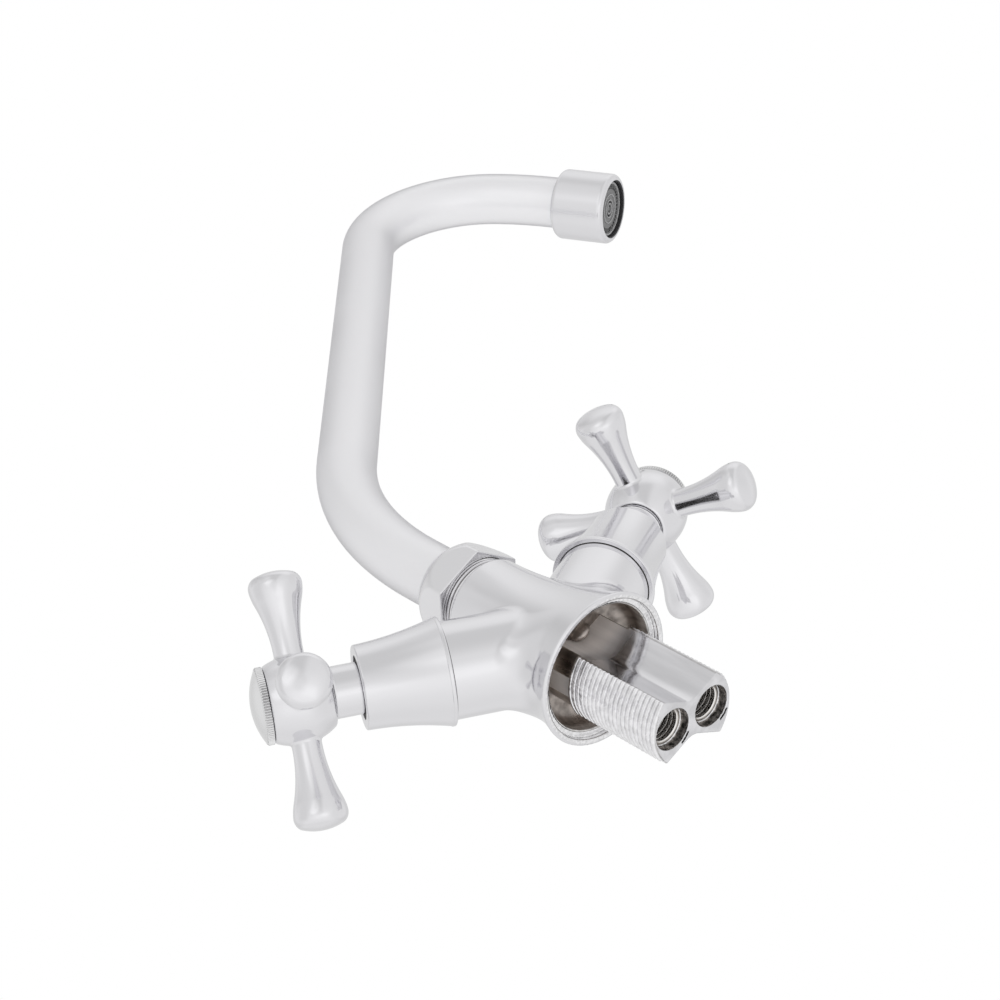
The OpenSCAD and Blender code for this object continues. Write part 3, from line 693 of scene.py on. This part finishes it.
def shank_field(x, y, z):
    rho, angle = np.hypot(x, y), np.degrees(np.arctan2(y, x))
    turn = z / SHANK_PITCH + angle / 360
    tooth = np.abs(turn - np.floor(turn) - 0.5) * 2
    crest = smooth_step(tooth, 0.02, 0.5)
    off_land = np.minimum(np.abs((angle + LAND_MIDDLE + 180) % 360 - 180),
                          np.abs((angle - 180 + LAND_MIDDLE + 180) % 360 - 180))
    threaded = smooth_step(off_land, LAND_HALF - 0.6, LAND_HALF + 0.6)
    wall = SHANK_R - 0.75 * SHANK_THREAD * (1 - crest)
    wall = (SHANK_R - 0.4) * (1 - threaded) + wall * threaded
    wall = np.where(z > SHANK_TOP, CORE_R, wall)
    lobes = meet(rho - wall, -SHANK_L - z, 0.4)
    tangent_x = GROOVE_ROUND_R * math.sin(math.radians(GROOVE_FLANK))
    far = np.abs(x)
    depth = GROOVE_BOTTOM + GROOVE_ROUND_R - np.sqrt(GROOVE_ROUND_R ** 2 - np.minimum(far, tangent_x) ** 2)
    depth = depth + np.maximum(far - tangent_x, 0) * math.tan(math.radians(GROOVE_FLANK))
    lobes = meet(lobes, (np.abs(y) - depth) * math.cos(math.radians(GROOVE_FLANK)), 0.25)
    lobes = np.maximum(lobes, z - HOLLOW_H - 1)
    below = z + SHANK_L
    for side in (-1, 1):
        hx = x - side * HOSE_X
        hr = np.hypot(hx, y)
        cone = HOSE_MOUTH_R - (below - HOSE_MOUTH_H + 0.7) * 1.1
        wall = np.where(below < HOSE_MOUTH_H - 0.7, HOSE_MOUTH_R, np.maximum(cone, HOSE_R + 0.7))
        wall = np.where(below > HOSE_MOUTH_H + HOSE_THREAD_L, INLET_R, wall)
        lobes = carve(lobes, hr - wall, 0.25)
        angle_here = np.degrees(np.arctan2(y, hx))
        sector = np.radians(np.abs(angle_here - SLOT_MIDDLE) - SLOT_HALF) * SLOT_R
        slot = np.abs(hr - SLOT_R - SLOT_WIDE / 2) - SLOT_WIDE / 2
        slot = np.maximum(slot, np.maximum(sector, below - SLOT_DEEP))
        lobes = carve(lobes, slot, 0.12)
    return lobes


def thread_corners(radius, depth, pitch, z0, z1, inner):
    """Outline of a threaded stretch, bored to inner."""
    count = int((z1 - z0) / pitch)
    corners = [(inner, z0), (radius - depth, z0)]
    for i in range(count):
        for step in (0.15, 0.35, 0.65, 0.85):
            corners.append((radius if 0.3 < step < 0.7 else radius - depth, z0 + (i + step) * pitch, 0.08))
    return corners + [(radius - depth, z1), (inner, z1)]


def hose_corners():
    """Outline of a hose hole's threaded liner."""
    z0 = HOSE_MOUTH_H - 0.45 - SHANK_L
    corners = [(HOSE_R + 0.85, z0), (HOSE_R + 0.85, z0 + HOSE_THREAD_L), (HOSE_R, z0 + HOSE_THREAD_L)]
    for i in reversed(range(int(HOSE_THREAD_L / HOSE_PITCH) - 1)):
        for step, deep in ((0.92, 0), (0.72, 1), (0.58, 1), (0.38, 0)):
            corners.append((HOSE_R + 0.62 * deep, z0 + 0.6 + (i + step) * HOSE_PITCH, 0.07))
    return corners + [(HOSE_R, z0 + 0.35, 0.1), (HOSE_R + 0.45, z0, 0.1)]


def skin_zones(at, normals):
    """1 on the rough cast face and recess of the base's rim, 0 elsewhere."""
    rho = np.hypot(at[:, 0], at[:, 1])
    return ((rho < BASE_R - 0.7) & (at[:, 2] < RECESS_H + 0.2)).astype(int)


def shank_zones(at, normals):
    """0 plain, 1 outer thread, 2 relief wall of a hose hole, 3 slot in painted shade, 4 rough core inside the
    hollow.
    """
    rho = np.hypot(at[:, 0], at[:, 1])
    radial = (normals[:, 0] * at[:, 0] + normals[:, 1] * at[:, 1]) / np.maximum(rho, 1e-6)
    picks = np.where((rho > SHANK_R - SHANK_THREAD - 0.3) & (radial > 0.3) & (at[:, 2] < SHANK_TOP), 1, 0)
    picks[(rho > CORE_R - 0.6) & (radial > 0.6) & (at[:, 2] > SHANK_TOP - 0.4)] = 4
    below = at[:, 2] + SHANK_L
    for side in (-1, 1):
        hr = np.hypot(at[:, 0] - side * HOSE_X, at[:, 1])
        inside = (hr < HOSE_MOUTH_R + 0.12) & (below > 0.25)
        picks[inside & (below < HOSE_MOUTH_H - 0.55)] = 2
        picks[inside & (below >= HOSE_MOUTH_H - 0.55)] = 0
        slot = (np.abs(hr - SLOT_R - SLOT_WIDE / 2) < SLOT_WIDE / 2 + 0.1) & (below > 0.15)
        angle = np.degrees(np.arctan2(at[:, 1], at[:, 0] - side * HOSE_X))
        picks[slot & (np.abs(angle - SLOT_MIDDLE) < SLOT_HALF + 2)] = 3
    return picks


field_piece("body_skin", body_field, (-45, -23, -0.6), (45, 23, 46.6), 0.5, IDENTITY,
            "fixed_body", [body_chrome, rim_cast], "body_casting", skin_zones)
field_piece("body_shank", shank_field, (-14.2, -14.2, -32.1), (14.2, 14.2, HOLLOW_H + 1.2), 0.25,
            IDENTITY, "fixed_body", [shank_chrome, thread_chrome, bore_wall, painted_shade_dark, core_cast_painted_shade],
            "body_casting", shank_zones)
lathed_piece("body_hollow_liner", [
    (0, HOLLOW_H), (HOLLOW_R, HOLLOW_H, 4.0), (HOLLOW_R, RECESS_H - 0.02, 0.5),
    (HOLLOW_R + 0.4, RECESS_H - 0.02), (HOLLOW_R + 0.4, HOLLOW_H + 0.3), (0, HOLLOW_H + 0.3),
], IDENTITY, "fixed_body", raw_cast_painted_light_and_shade, "body_casting")
lathed_piece("body_neck_thread",
             thread_corners(NECK_THREAD_R, 0.55, 1.25, NECK_H - 0.6, NECK_H + NECK_THREAD_H, SOCKET_R),
             IDENTITY, "fixed_body", neck_chrome_painted_shade, "body_casting")


LUG_HALF = (3.0, 1.4, 2.6)
LUG_AT = shift(0.4, -7.4, HOLLOW_H - 0.4) @ turn_z(-25)


def lug_field(x, y, z):
    """The small lug that the casting leaves on the hollow's ceiling."""
    a, b, c = LUG_HALF
    size = np.sqrt((x / a) ** 2 + (y / b) ** 2 + (z / c) ** 2)
    return np.maximum((size - 1) * min(LUG_HALF), z - 0.6)


field_piece("body_cast_lug", lug_field, (-3.4, -3.4, -3.4), (3.4, 3.4, 1.2), 0.2, LUG_AT,
            "fixed_body", [raw_cast_painted_light_and_shade], "body_casting")
for side in SIDES:
    lathed_piece(f"{side}_hose_thread", hose_corners(), shift(SIDES[side] * HOSE_X, 0, 0), "fixed_body",
                 bore_thread_painted_shade, "body_casting", segments=96)

# ---------------------------------------------------------------- spout nut


def nut_field(x, y, z):
    turn = math.radians(NUT_TURN - 30)
    flats = np.full_like(x, -1e3)
    for k in range(3):
        a = turn + k * math.pi / 3
        flats = meet(flats, np.abs(x * math.cos(a) + y * math.sin(a)) - NUT_AF / 2, 0.45)
    dome = np.sqrt(x * x + y * y + (z - NUT_Z - 1) ** 2) - NUT_DOME_R
    nut = meet(flats, dome, 0.35)
    nut = meet(nut, np.abs(z - (NUT_Z + NUT_TOP) / 2) - (NUT_TOP - NUT_Z) / 2, 0.35)
    nut = carve(nut, rod(x, y, z, NECK_THREAD_R + 0.1, NUT_Z - 5, NECK_H + NECK_THREAD_H + 2.8), 0.3)
    return carve(nut, np.hypot(x, y) - TUBE_R - 0.3, 0.3)


field_piece("nut_hexagon", nut_field, (-16.5, -16.5, NUT_Z - 0.6), (16.5, 16.5, NUT_TOP + 0.6), 0.3,
            IDENTITY, "fixed_body", [nut_chrome], "spout_nut")

# ---------------------------------------------------------------- aerator


def aerator_corners():
    inner, step_in = TUBE_R + 0.2, FERRULE_R + 0.1
    return [
        (inner, AERATOR_START, 0.3), (AERATOR_R, AERATOR_START, 1.9), (AERATOR_R, AERATOR_END, 2.0),
        (OUTLET_R, AERATOR_END, 0.08), (OUTLET_R, INSERT_AT + 1.6), (step_in, INSERT_AT + 1.6),
        (step_in, TUBE_END), (inner, TUBE_END),
    ]


lathed_piece("aerator_shell", aerator_corners(), AT_OUTLET, "spout", aerator_chrome,
             "aerator_housing")


def face_drop(rho, angle):
    """How far each ring of the insert's face lies below its highest ring."""
    drop = np.full_like(rho, 0.35)
    for low, high in RAISED_RINGS:
        drop -= 0.35 * (smooth_step(rho, low - 0.1, low + 0.1) - smooth_step(rho, high - 0.1, high + 0.1))
    for low, high, ribs in SUNK_RINGS:
        sunk = smooth_step(rho, low - 0.1, low + 0.1) - smooth_step(rho, high - 0.1, high + 0.1)
        rib = smooth_step(np.cos(angle * ribs), 0.2, 0.7) if ribs else 0.0
        drop += sunk * (0.85 - 0.7 * rib)
    return drop


def insert_field(x, y, z):
    rho, angle = np.hypot(x, y), np.arctan2(y, x)
    disc = np.maximum(rho - INSERT_R, FACE_AT - 1.8 - z)
    return np.maximum(disc, (z - FACE_AT + face_drop(rho, angle)) * 0.6)


def insert_zones(at, normals):
    """0 flat, 1 raised ring in painted highlight, 2 sunk slot or side in painted shade."""
    rho, angle = np.hypot(at[:, 0], at[:, 1]), np.arctan2(at[:, 1], at[:, 0])
    drop = face_drop(rho, angle)
    return np.where(drop < 0.15, 1, np.where((drop > 0.7) | (at[:, 2] < FACE_AT - 1.35), 2, 0))


field_piece("aerator_face", insert_field, (-9.9, -9.9, FACE_AT - 2.2), (9.9, 9.9, FACE_AT + 0.4), 0.17,
            AT_OUTLET, "spout", [plastic, ring_plastic, insert_painted_shade], "aerator_insert",
            insert_zones)
# A near-black sleeve in the gap between the insert and the housing: painted shade.
lathed_piece("aerator_skirt", [
    (INSERT_R - 0.4, FACE_AT - 2.0), (OUTLET_R - 0.02, FACE_AT - 2.0),
    (OUTLET_R - 0.02, AERATOR_END - 0.35, 0.1), (OUTLET_R - 0.35, AERATOR_END - 0.35, 0.1),
    (OUTLET_R - 0.35, FACE_AT - 1.7), (INSERT_R - 0.4, FACE_AT - 1.7),
], AT_OUTLET, "spout", insert_painted_shade, "aerator_insert")

# ---------------------------------------------------------------- bonnet covers


def cover_corners():
    """Outline of a trumpet-shaped cover with a bead round its wide end."""
    foot, bead = COVER_END + 1.8, COVER_START + 1.1
    flank = []
    for i in range(37):
        s = bead + (COVER_END - bead) * i / 36
        flank.append((COVER_NARROW_R + COVER_FLANK_R - math.sqrt(COVER_FLANK_R ** 2 - (foot - s) ** 2), s))
    lip = flank.pop()
    return [
        (ARM_R + 0.14, COVER_START, 0.08), (COVER_WIDE_R, COVER_START, 0.35),
        (COVER_WIDE_R, bead - 0.15, 0.1), *flank, (*lip, 0.45),
        (MOUTH_GAP_R, COVER_END, 0.25), (MOUTH_GAP_R, COVER_END - 1.9), (COVER_BORE_R, COVER_END - 1.9),
        (COVER_BORE_R, VALVE_COLLAR_END), (VALVE_COLLAR_R, VALVE_COLLAR_END),
        (VALVE_COLLAR_R, VALVE_HEX_END), (VALVE_ROOM_R, VALVE_HEX_END),
        (VALVE_ROOM_R, ARM_L + 0.4), (ARM_R + 0.14, ARM_L + 0.4),
    ]


for side in SIDES:
    lathed_piece(f"{side}_cover_shell", cover_corners(), on_arm(side), "fixed_body", cover_chrome,
                 f"{side}_bonnet_cover", segments=192)
    # A thin near-black ring on the arm at the cover's wide end: painted shadow in the joint.
    lathed_piece(f"{side}_cover_painted_shadow_line", [
        (ARM_R - 0.3, COVER_START - 0.3), (ARM_R + 0.07, COVER_START - 0.3, 0.05),
        (ARM_R + 0.07, COVER_START + 0.3), (ARM_R - 0.3, COVER_START + 0.3),
    ], on_arm(side), "fixed_body", painted_shade_dark, f"{side}_bonnet_cover", segments=192)
    lathed_piece(f"{side}_cover_shadow_ring", [
        (STEM_R + 0.12, COVER_END - 1.0), (MOUTH_GAP_R + 0.2, COVER_END - 1.0),
        (MOUTH_GAP_R + 0.2, COVER_END - 0.55), (STEM_R + 0.12, COVER_END - 0.55),
    ], on_arm(side), "fixed_body", painted_shade_dark, f"{side}_bonnet_cover", segments=192)

# ---------------------------------------------------------------- handles


def grip_field(along, away):
    """A flared grip that stands along its own axis."""
    flare = GRIP_ROOT_R + GRIP_FLARE_R - np.sqrt(
        GRIP_FLARE_R ** 2 - np.clip(along - GRIP_FOOT, 0, GRIP_FLARE_R * 0.9) ** 2)
    lean = np.sqrt(1 - (np.clip(along - GRIP_FOOT, 0, 30) / GRIP_FLARE_R) ** 2)
    side = meet((away - flare) * lean, away - GRIP_TIP_R, 0.8)
    dome = np.hypot(along - GRIP_REACH + 14, away) - 14
    return np.maximum(meet(side, dome, 1.6), -along)


def handle_field(x, y, z):
    rho = np.hypot(x, y)
    barrel = np.hypot(rho - HUB_R + HUB_CURVE_R, z - HUB_MIDDLE) - HUB_CURVE_R
    barrel = np.where(rho > HUB_R - HUB_CURVE_R, barrel, np.abs(z - HUB_MIDDLE) - HUB_CURVE_R)
    hub = meet(barrel, np.abs(z - (HUB_START + HUB_END) / 2) - (HUB_END - HUB_START) / 2, 0.5)
    hub = join(hub, np.maximum(rho - STEM_R, np.maximum(STEM_START - z, z - HUB_START - 2)), 0.5)
    for k in range(4):
        c, s = math.cos(k * math.pi / 2), math.sin(k * math.pi / 2)
        along, across = x * c + y * s, -x * s + y * c
        hub = join(hub, grip_field(along, np.hypot(across, z - GRIP_AT)), 0.7)
    bore = np.minimum(rod(x, y, z, SPINDLE_WAY_R, STEM_START - 5, SPLINE_AT),
                      rod(x, y, z, SPLINE_R, STEM_START, SPLINE_END))
    bore = np.minimum(bore, rod(x, y, z, SCREW_HEAD_R, SCREW_SEAT, HUB_END + 5))
    bore = np.minimum(bore, rod(x, y, z, CAP_PLUG_R + 0.05, CAP_SEAT, HUB_END + 5))
    return carve(hub, bore, 0.15)


def cap_corners():
    rim = HUB_END + 0.1
    top = rim + CAP_RIM_H
    sphere = (CAP_DOME_R ** 2 + CAP_DOME_H ** 2) / (2 * CAP_DOME_H)
    dome = []
    for i in range(20):
        r = (CAP_DOME_R - 0.25) * (1 - i / 19)
        dome.append((r, top + CAP_DOME_H - sphere + math.sqrt(sphere ** 2 - r * r)))
    return [(0, CAP_SEAT + 0.1), (CAP_PLUG_R, CAP_SEAT + 0.1, 0.2), (CAP_PLUG_R, rim), (CAP_R, rim, 0.15),
            (CAP_R, rim + 1.55), (CAP_DOME_R + 0.15, top, 0.12), *dome]


def knurl(z, angle):
    """Depth of the fine knurl round the cap's rim."""
    low = HUB_END + 0.1
    if z < low - 0.01 or z > low + 1.6:
        return 0.0
    return KNURL_DEPTH * (0.5 - 0.5 * math.cos(KNURL_TEETH * angle))


def make_cap(side, body, at):
    """An index cap, with painted shade in the bottom of its knurl: a darker, rougher metal there."""
    points, faces, normals = lathe(rounded(cap_corners()), KNURL_TEETH * 8, depth=knurl)
    x, y, z = np.array([points[face].mean(0) for face in faces]).T
    # The knurl's valley faces, which take the painted shade.
    low = (np.cos(KNURL_TEETH * np.arctan2(y, x)) < -0.2) & (np.abs(z - HUB_END - 0.9) < 0.75)
    low &= np.hypot(x, y) > CAP_R - 0.6
    make_piece(f"{side}_cap_face", placed(points, at), faces, turned(normals, at), body,
               [cap_chrome, knurl_painted_shade], f"{side}_index_cap", low.astype(int))


for side in SIDES:
    body = f"{side}_control"
    at = on_arm(side, HANDLE_TURN[side])
    field_piece(f"{side}_cross_handle", handle_field, (-36, -36, 49), (36, 36, 80), 0.5, at,
                body, [chrome], f"{side}_handle")
    make_cap(side, body, at)

# ---------------------------------------------------------------- studio


# The photograph's view: the turn into it as an axis whose length is the angle in radians, the place
# of the frame's middle in it in mm, the focal length in pixels and the picture's width in pixels.
VIEW_TURN = (0.47834, -0.69322, -0.25697)
VIEW_OFFSET = (27.2515, 44.0691, 662.905)
VIEW_FOCAL, VIEW_WIDTH, SENSOR = 2558.8, 1000, 36


def make_camera():
    """The camera at the photograph's viewing angle."""
    axis = Vector(VIEW_TURN)
    look = Matrix.Rotation(axis.length, 3, axis.normalized())
    offset = Vector(VIEW_OFFSET)
    turn = look.transposed() @ Matrix.Diagonal((1, -1, -1))
    camera = bpy.data.objects.new("camera", bpy.data.cameras.new("camera"))
    camera.data.sensor_width = SENSOR
    camera.data.lens = VIEW_FOCAL * SENSOR / VIEW_WIDTH
    camera.data.clip_start, camera.data.clip_end = 0.05, 20
    camera.matrix_world = Matrix.Translation(-(look.transposed() @ offset) * MM) @ turn.to_4x4()
    bpy.context.scene.collection.objects.link(camera)
    bpy.context.scene.camera = camera


# The studio is a white tent. Each light or flag in it has a direction, given by its angle from the
# viewpoint's axis and its bearing round it (0 to the right, 90 up), a bearing of its long side, half
# its width and height, and the softness of its edge, all in degrees, and what it adds to the tent.
TENT = 0.87
FLOOR_WHITE, FLOOR_HALF, FLOOR_Z = 0.7, 200.0, -1.6
STUDIO = {
    "front_glow": (10, -25, 0, 12, 12, 46, 0.1),
    "key_box": (20, -12, -12, 9, 4, 14, 0.074),
    "left_box": (37, 130, 60, 12, 4, 16, 0.18),
    "lens_shade": (13, 85, 80, 9, 6, 12, -0.074),
    "low_fill": (35, -92, 0, 30, 20, 40, 0.058),
    "top_flag": (62, 95, 90, 24, 7, 17, -0.148),
    "side_flag": (76, 172, 90, 24, 8, 30, -0.08),
    "far_flag": (116, 152, 0, 10, 8, 18, -0.127),
    "arch_flag": (93, 122, 0, 11, 7, 15, -0.095),
    "roof_glow": (124, 86, 0, 14, 9, 24, 0.053),
    "rear_glow": (118, 51, 0, 8, 8, 42, 0.074),
    "right_shade": (100, 37, 0, 6, 6, 34, -0.074),
    "rear_shade": (180, 0, 0, 34, 34, 28, -0.117),
}


def studio_axes():
    """The viewpoint's right, up and backward directions, in the row frame."""
    turn = bpy.context.scene.camera.matrix_world.to_3x3()
    return turn.col[0], turn.col[1], turn.col[2]


def in_range(nodes, links, direction, axis, edge, soft):
    """1 within edge degrees of the plane across axis, falling to 0 over soft degrees."""
    dot = nodes.new("ShaderNodeVectorMath")
    dot.operation = "DOT_PRODUCT"
    dot.inputs[1].default_value = axis
    links.new(direction, dot.inputs[0])
    size = maths(nodes, links, "ABSOLUTE", dot.outputs["Value"])
    node = nodes.new("ShaderNodeMapRange")
    node.interpolation_type = "SMOOTHSTEP"
    node.inputs["From Min"].default_value = math.sin(math.radians(edge))
    node.inputs["From Max"].default_value = math.sin(math.radians(min(edge + soft, 89)))
    node.inputs["To Min"].default_value = 1.0
    node.inputs["To Max"].default_value = 0.0
    links.new(size, node.inputs["Value"])
    return node.outputs["Result"]


def make_world():
    """White for the camera; a white tent with soft lights and flags for reflections and light."""
    world = bpy.data.worlds.new("studio")
    bpy.context.scene.world = world
    world.use_nodes = True
    nodes, links = world.node_tree.nodes, world.node_tree.links
    nodes.clear()
    direction = nodes.new("ShaderNodeTexCoord").outputs["Generated"]
    right, up, back = studio_axes()
    level = TENT
    for off, bearing, roll, half_w, half_h, soft, change in STUDIO.values():
        off, bearing, roll = math.radians(off), math.radians(bearing), math.radians(roll)
        centre = (right * math.cos(bearing) + up * math.sin(bearing)) * math.sin(off) + back * math.cos(off)
        flat = (right * math.cos(roll) + up * math.sin(roll)).cross(centre).normalized()
        long = centre.cross(flat)
        facing = nodes.new("ShaderNodeVectorMath")
        facing.operation = "DOT_PRODUCT"
        facing.inputs[1].default_value = centre
        links.new(direction, facing.inputs[0])
        front = maths(nodes, links, "GREATER_THAN", facing.outputs["Value"], 0.0)
        shape = maths(nodes, links, "MULTIPLY", in_range(nodes, links, direction, long, half_w, soft),
                      in_range(nodes, links, direction, flat, half_h, soft))
        shape = maths(nodes, links, "MULTIPLY", shape, front)
        level = maths(nodes, links, "MULTIPLY_ADD", shape, change, level)
    tent = nodes.new("ShaderNodeBackground")
    links.new(level, tent.inputs["Color"])
    backdrop = nodes.new("ShaderNodeBackground")
    backdrop.inputs["Color"].default_value = (1, 1, 1, 1)
    path = nodes.new("ShaderNodeLightPath")
    pick = nodes.new("ShaderNodeMixShader")
    links.new(path.outputs["Is Camera Ray"], pick.inputs["Fac"])
    links.new(tent.outputs["Background"], pick.inputs[1])
    links.new(backdrop.outputs["Background"], pick.inputs[2])
    output = nodes.new("ShaderNodeOutputWorld")
    links.new(pick.outputs["Shader"], output.inputs["Surface"])


def make_floor():
    """A plain pale floor, far enough down to stay clear of the low viewpoint.

    The camera sees it nearly white, with part of the object's shadow.
    """
    material = finished("floor", (0.96, 0.96, 0.96), 0.0, (0.8, 0.9, 3), (1e-5, 60), (1e-5, 10))
    nodes, links = material.node_tree.nodes, material.node_tree.links
    white = nodes.new("ShaderNodeEmission")
    path = nodes.new("ShaderNodeLightPath")
    pick = nodes.new("ShaderNodeMixShader")
    links.new(maths(nodes, links, "MULTIPLY", path.outputs["Is Camera Ray"], FLOOR_WHITE), pick.inputs["Fac"])
    links.new(nodes["Principled BSDF"].outputs["BSDF"], pick.inputs[1])
    links.new(white.outputs["Emission"], pick.inputs[2])
    links.new(pick.outputs["Shader"], nodes["Material Output"].inputs["Surface"])
    size, z = FLOOR_HALF, FLOOR_Z
    mesh = bpy.data.meshes.new("floor")
    corners = [(-size, -size, z), (size, -size, z), (size, size, z), (-size, size, z)]
    mesh.from_pydata(corners, [], [(0, 1, 2, 3)])
    mesh.materials.append(material)
    floor = bpy.data.objects.new("floor", mesh)
    bpy.context.scene.collection.objects.link(floor)
    floor.visible_glossy = False  # polished metal shows the white tent all round, as in the photograph


make_camera()
make_world()
make_floor()
bpy.context.scene.view_settings.view_transform = "Standard"
